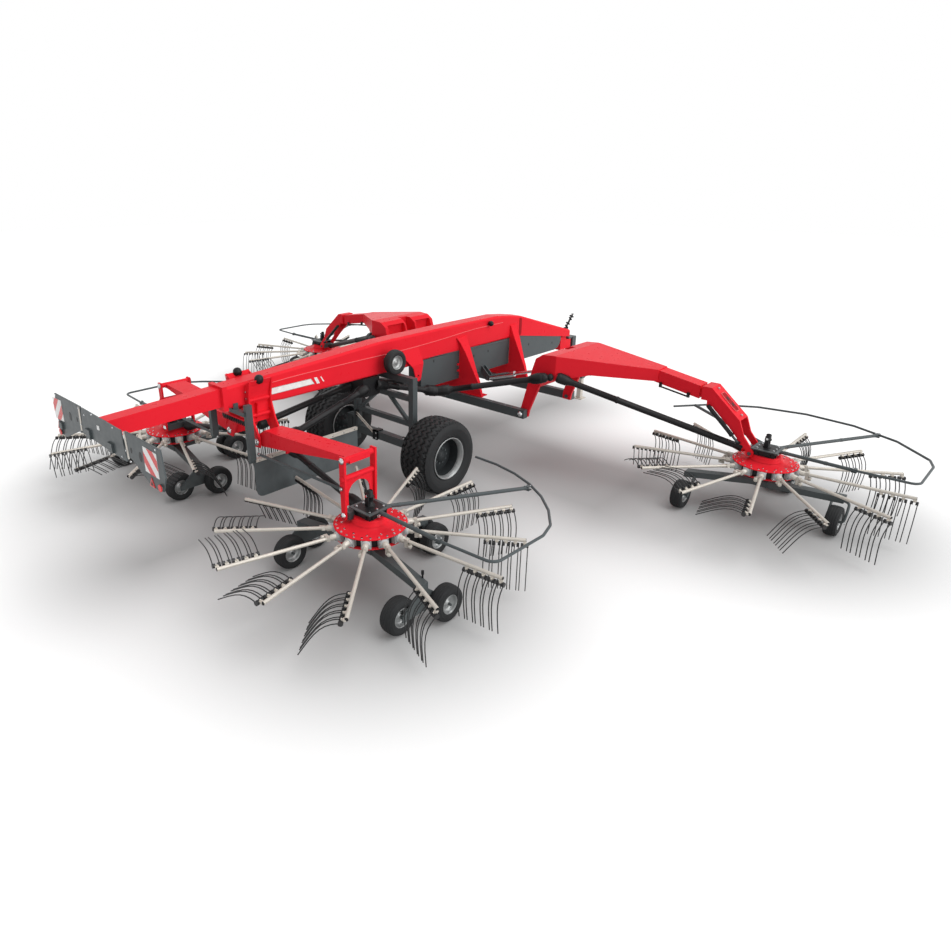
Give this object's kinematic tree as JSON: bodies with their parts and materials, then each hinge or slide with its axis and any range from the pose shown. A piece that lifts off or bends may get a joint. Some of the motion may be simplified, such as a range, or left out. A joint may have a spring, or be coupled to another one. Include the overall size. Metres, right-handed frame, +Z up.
{
  "type": "four-rotor rotary rake",
  "caption": "Towed rotary rake unfolded in its working position: arched red frame, folding arms, tined rotors on castors and a swath curtain.",
  "frame": {"origin": "on the ground under the middle of the whole machine, seen from above", "axes": "+X forward to the tractor, +Y to the left, +Z up"},
  "size_m": [9.316, 12.4626, 2.015],
  "materials": {
    "red_paint": "gloss",
    "dark_grey_paint": "satin",
    "galvanised": "satin",
    "tyre": "matte",
    "bright_steel": "polished",
    "curtain_rubber": "matte",
    "black_plastic": "satin"
  },
  "bodies": {
    "frame": {"main_beam": "red_paint", "beam_channel": "dark_grey_paint", "gussets": "red_paint", "cross_beams": "dark_grey_paint", "portal_frame": "dark_grey_paint", "light_board": "dark_grey_paint", "curtain_posts": "dark_grey_paint", "swath_curtain": "curtain_rubber", "rear_brackets": "red_paint", "spare_wheel": "tyre", "drive_line": "black_plastic"},
    "headstock": {"headstock": "dark_grey_paint", "jack_tube": "dark_grey_paint"},
    "jack": {"jack_leg": "galvanised"},
    "knuckle_left": {"knuckle_left": "dark_grey_paint"},
    "main_wheel_left": {"main_wheel_left": "tyre"},
    "front_arm_left": {"front_arm_left": "red_paint"},
    "front_slider_left": {"front_slider_left": "red_paint", "carrier_front_left": "dark_grey_paint", "guard_front_left": "dark_grey_paint"},
    "lift_barrel_left": {"lift_barrel_left": "bright_steel"},
    "lift_rod_left": {"lift_rod_left": "bright_steel"},
    "rear_arm_left": {"rear_arm_left": "red_paint", "carrier_rear_left": "dark_grey_paint", "guard_rear_left": "dark_grey_paint"},
    "rotor_front_left": {"rotor_front_left": "galvanised"},
    "castor_front_in_left": {"castor_front_in_left": "tyre"},
    "castor_front_out_left": {"castor_front_out_left": "tyre"},
    "castor_twin_front_left": {"castor_twin_front_left": "tyre"},
    "rotor_rear_left": {"rotor_rear_left": "galvanised"},
    "castor_rear_in_back_left": {"castor_rear_in_back_left": "tyre"},
    "castor_rear_in_ahead_left": {"castor_rear_in_ahead_left": "tyre"},
    "castor_rear_out_back_left": {"castor_rear_out_back_left": "tyre"},
    "castor_rear_out_ahead_left": {"castor_rear_out_ahead_left": "tyre"},
    "castor_twin_rear_left": {"castor_twin_rear_left": "tyre"},
    "knuckle_right": {"knuckle_right": "dark_grey_paint"},
    "main_wheel_right": {"main_wheel_right": "tyre"},
    "front_arm_right": {"front_arm_right": "red_paint"},
    "front_slider_right": {"front_slider_right": "red_paint", "carrier_front_right": "dark_grey_paint", "guard_front_right": "dark_grey_paint"},
    "lift_barrel_right": {"lift_barrel_right": "bright_steel"},
    "lift_rod_right": {"lift_rod_right": "bright_steel"},
    "rear_arm_right": {"rear_arm_right": "red_paint", "carrier_rear_right": "dark_grey_paint", "guard_rear_right": "dark_grey_paint"},
    "rotor_front_right": {"rotor_front_right": "galvanised"},
    "castor_front_in_right": {"castor_front_in_right": "tyre"},
    "castor_front_out_right": {"castor_front_out_right": "tyre"},
    "castor_twin_front_right": {"castor_twin_front_right": "tyre"},
    "rotor_rear_right": {"rotor_rear_right": "galvanised"},
    "castor_rear_in_back_right": {"castor_rear_in_back_right": "tyre"},
    "castor_rear_in_ahead_right": {"castor_rear_in_ahead_right": "tyre"},
    "castor_rear_out_back_right": {"castor_rear_out_back_right": "tyre"},
    "castor_rear_out_ahead_right": {"castor_rear_out_ahead_right": "tyre"},
    "castor_twin_rear_right": {"castor_twin_rear_right": "tyre"}
  },
  "joints": [
    {"name": "drawbar_swivel", "type": "hinge", "parent": "frame", "child": "headstock", "pos_m": [4.278, 0, 1.15], "axis": [0, 0, 1], "range_deg": [-45, 45]},
    {"name": "jack_slide", "type": "slide", "parent": "headstock", "child": "jack", "axis": [0, 0, 1], "range_m": [0, 0.4]},
    {"name": "steering_left", "type": "hinge", "parent": "frame", "child": "knuckle_left", "pos_m": [-0.642, 0.722, 0.53], "axis": [0, 0, 1], "range_deg": [-25, 25]},
    {"name": "main_wheel_axle_left", "type": "hinge", "parent": "knuckle_left", "child": "main_wheel_left", "pos_m": [-0.642, 1.06, 0.53], "axis": [0, 1, 0], "continuous": true},
    {"name": "front_fold_left", "type": "hinge", "parent": "frame", "child": "front_arm_left", "pos_m": [1.503, 1.42, 0.86], "axis": [1, 0, 0], "range_deg": [0, 85]},
    {"name": "width_slide_left", "type": "slide", "parent": "front_arm_left", "child": "front_slider_left", "axis": [0, 0.9859, -0.1676], "range_m": [0, 0.5]},
    {"name": "lift_barrel_pin_left", "type": "hinge", "parent": "frame", "child": "lift_barrel_left", "pos_m": [1.503, 0.25, 1.055], "axis": [1, 0, 0], "range_deg": [-40, 10]},
    {"name": "lift_rod_slide_left", "type": "slide", "parent": "lift_barrel_left", "child": "lift_rod_left", "axis": [0, 0.9571, 0.2899], "range_m": [-0.4, 0]},
    {"name": "rear_fold_left", "type": "hinge", "parent": "frame", "child": "rear_arm_left", "pos_m": [-2.854, 0.3, 1.17], "axis": [1, 0, 0], "range_deg": [0, 74]},
    {"name": "rotor_front_turn_left", "type": "hinge", "parent": "front_slider_left", "child": "rotor_front_left", "pos_m": [1.821, 4.564, 0.65], "axis": [0, 0, 1], "continuous": true},
    {"name": "castor_front_in_left_axle", "type": "hinge", "parent": "front_slider_left", "child": "castor_front_in_left", "pos_m": [1.211, 3.774, 0.19], "axis": [0, 1, 0], "continuous": true},
    {"name": "castor_front_out_left_axle", "type": "hinge", "parent": "front_slider_left", "child": "castor_front_out_left", "pos_m": [1.771, 5.464, 0.19], "axis": [0, 1, 0], "continuous": true},
    {"name": "castor_twin_front_left_axle", "type": "hinge", "parent": "front_slider_left", "child": "castor_twin_front_left", "pos_m": [2.711, 4.564, 0.19], "axis": [0, 1, 0], "continuous": true},
    {"name": "rotor_rear_turn_left", "type": "hinge", "parent": "rear_arm_left", "child": "rotor_rear_left", "pos_m": [-2.854, 2.121, 0.65], "axis": [0, 0, 1], "continuous": true},
    {"name": "castor_rear_in_back_left_axle", "type": "hinge", "parent": "rear_arm_left", "child": "castor_rear_in_back_left", "pos_m": [-3.304, 1.257, 0.19], "axis": [0, 1, 0], "continuous": true},
    {"name": "castor_rear_in_ahead_left_axle", "type": "hinge", "parent": "rear_arm_left", "child": "castor_rear_in_ahead_left", "pos_m": [-2.824, 1.075, 0.19], "axis": [0, 1, 0], "continuous": true},
    {"name": "castor_rear_out_back_left_axle", "type": "hinge", "parent": "rear_arm_left", "child": "castor_rear_out_back_left", "pos_m": [-3.304, 2.985, 0.19], "axis": [0, 1, 0], "continuous": true},
    {"name": "castor_rear_out_ahead_left_axle", "type": "hinge", "parent": "rear_arm_left", "child": "castor_rear_out_ahead_left", "pos_m": [-2.824, 3.167, 0.19], "axis": [0, 1, 0], "continuous": true},
    {"name": "castor_twin_rear_left_axle", "type": "hinge", "parent": "rear_arm_left", "child": "castor_twin_rear_left", "pos_m": [-1.964, 2.121, 0.19], "axis": [0, 1, 0], "continuous": true},
    {"name": "steering_right", "type": "hinge", "parent": "frame", "child": "knuckle_right", "pos_m": [-0.642, -0.722, 0.53], "axis": [0, 0, 1], "range_deg": [-25, 25]},
    {"name": "main_wheel_axle_right", "type": "hinge", "parent": "knuckle_right", "child": "main_wheel_right", "pos_m": [-0.642, -1.06, 0.53], "axis": [0, 1, 0], "continuous": true},
    {"name": "front_fold_right", "type": "hinge", "parent": "frame", "child": "front_arm_right", "pos_m": [1.503, -1.42, 0.86], "axis": [-1, 0, 0], "range_deg": [0, 85]},
    {"name": "width_slide_right", "type": "slide", "parent": "front_arm_right", "child": "front_slider_right", "axis": [0, -0.9859, -0.1676], "range_m": [0, 0.5]},
    {"name": "lift_barrel_pin_right", "type": "hinge", "parent": "frame", "child": "lift_barrel_right", "pos_m": [1.503, -0.25, 1.055], "axis": [-1, 0, 0], "range_deg": [-40, 10]},
    {"name": "lift_rod_slide_right", "type": "slide", "parent": "lift_barrel_right", "child": "lift_rod_right", "axis": [0, -0.9571, 0.2899], "range_m": [-0.4, 0]},
    {"name": "rear_fold_right", "type": "hinge", "parent": "frame", "child": "rear_arm_right", "pos_m": [-2.854, -0.3, 1.17], "axis": [-1, 0, 0], "range_deg": [0, 74]},
    {"name": "rotor_front_turn_right", "type": "hinge", "parent": "front_slider_right", "child": "rotor_front_right", "pos_m": [1.821, -4.564, 0.65], "axis": [0, 0, 1], "continuous": true},
    {"name": "castor_front_in_right_axle", "type": "hinge", "parent": "front_slider_right", "child": "castor_front_in_right", "pos_m": [1.211, -3.774, 0.19], "axis": [0, 1, 0], "continuous": true},
    {"name": "castor_front_out_right_axle", "type": "hinge", "parent": "front_slider_right", "child": "castor_front_out_right", "pos_m": [1.771, -5.464, 0.19], "axis": [0, 1, 0], "continuous": true},
    {"name": "castor_twin_front_right_axle", "type": "hinge", "parent": "front_slider_right", "child": "castor_twin_front_right", "pos_m": [2.711, -4.564, 0.19], "axis": [0, 1, 0], "continuous": true},
    {"name": "rotor_rear_turn_right", "type": "hinge", "parent": "rear_arm_right", "child": "rotor_rear_right", "pos_m": [-2.854, -2.121, 0.65], "axis": [0, 0, 1], "continuous": true},
    {"name": "castor_rear_in_back_right_axle", "type": "hinge", "parent": "rear_arm_right", "child": "castor_rear_in_back_right", "pos_m": [-3.304, -1.257, 0.19], "axis": [0, 1, 0], "continuous": true},
    {"name": "castor_rear_in_ahead_right_axle", "type": "hinge", "parent": "rear_arm_right", "child": "castor_rear_in_ahead_right", "pos_m": [-2.824, -1.075, 0.19], "axis": [0, 1, 0], "continuous": true},
    {"name": "castor_rear_out_back_right_axle", "type": "hinge", "parent": "rear_arm_right", "child": "castor_rear_out_back_right", "pos_m": [-3.304, -2.985, 0.19], "axis": [0, 1, 0], "continuous": true},
    {"name": "castor_rear_out_ahead_right_axle", "type": "hinge", "parent": "rear_arm_right", "child": "castor_rear_out_ahead_right", "pos_m": [-2.824, -3.167, 0.19], "axis": [0, 1, 0], "continuous": true},
    {"name": "castor_twin_rear_right_axle", "type": "hinge", "parent": "rear_arm_right", "child": "castor_twin_rear_right", "pos_m": [-1.964, -2.121, 0.19], "axis": [0, 1, 0], "continuous": true}
  ],
  "couplings": [
    {"joint": "lift_barrel_pin_left", "follows": "front_fold_left", "ratio": -0.3189},
    {"joint": "lift_rod_slide_left", "follows": "front_fold_left", "m_per_rad": -0.2696},
    {"joint": "lift_barrel_pin_right", "follows": "front_fold_right", "ratio": -0.3189},
    {"joint": "lift_rod_slide_right", "follows": "front_fold_right", "m_per_rad": -0.2696},
    {"joint": "steering_right", "follows": "steering_left", "ratio": 1}
  ]
}
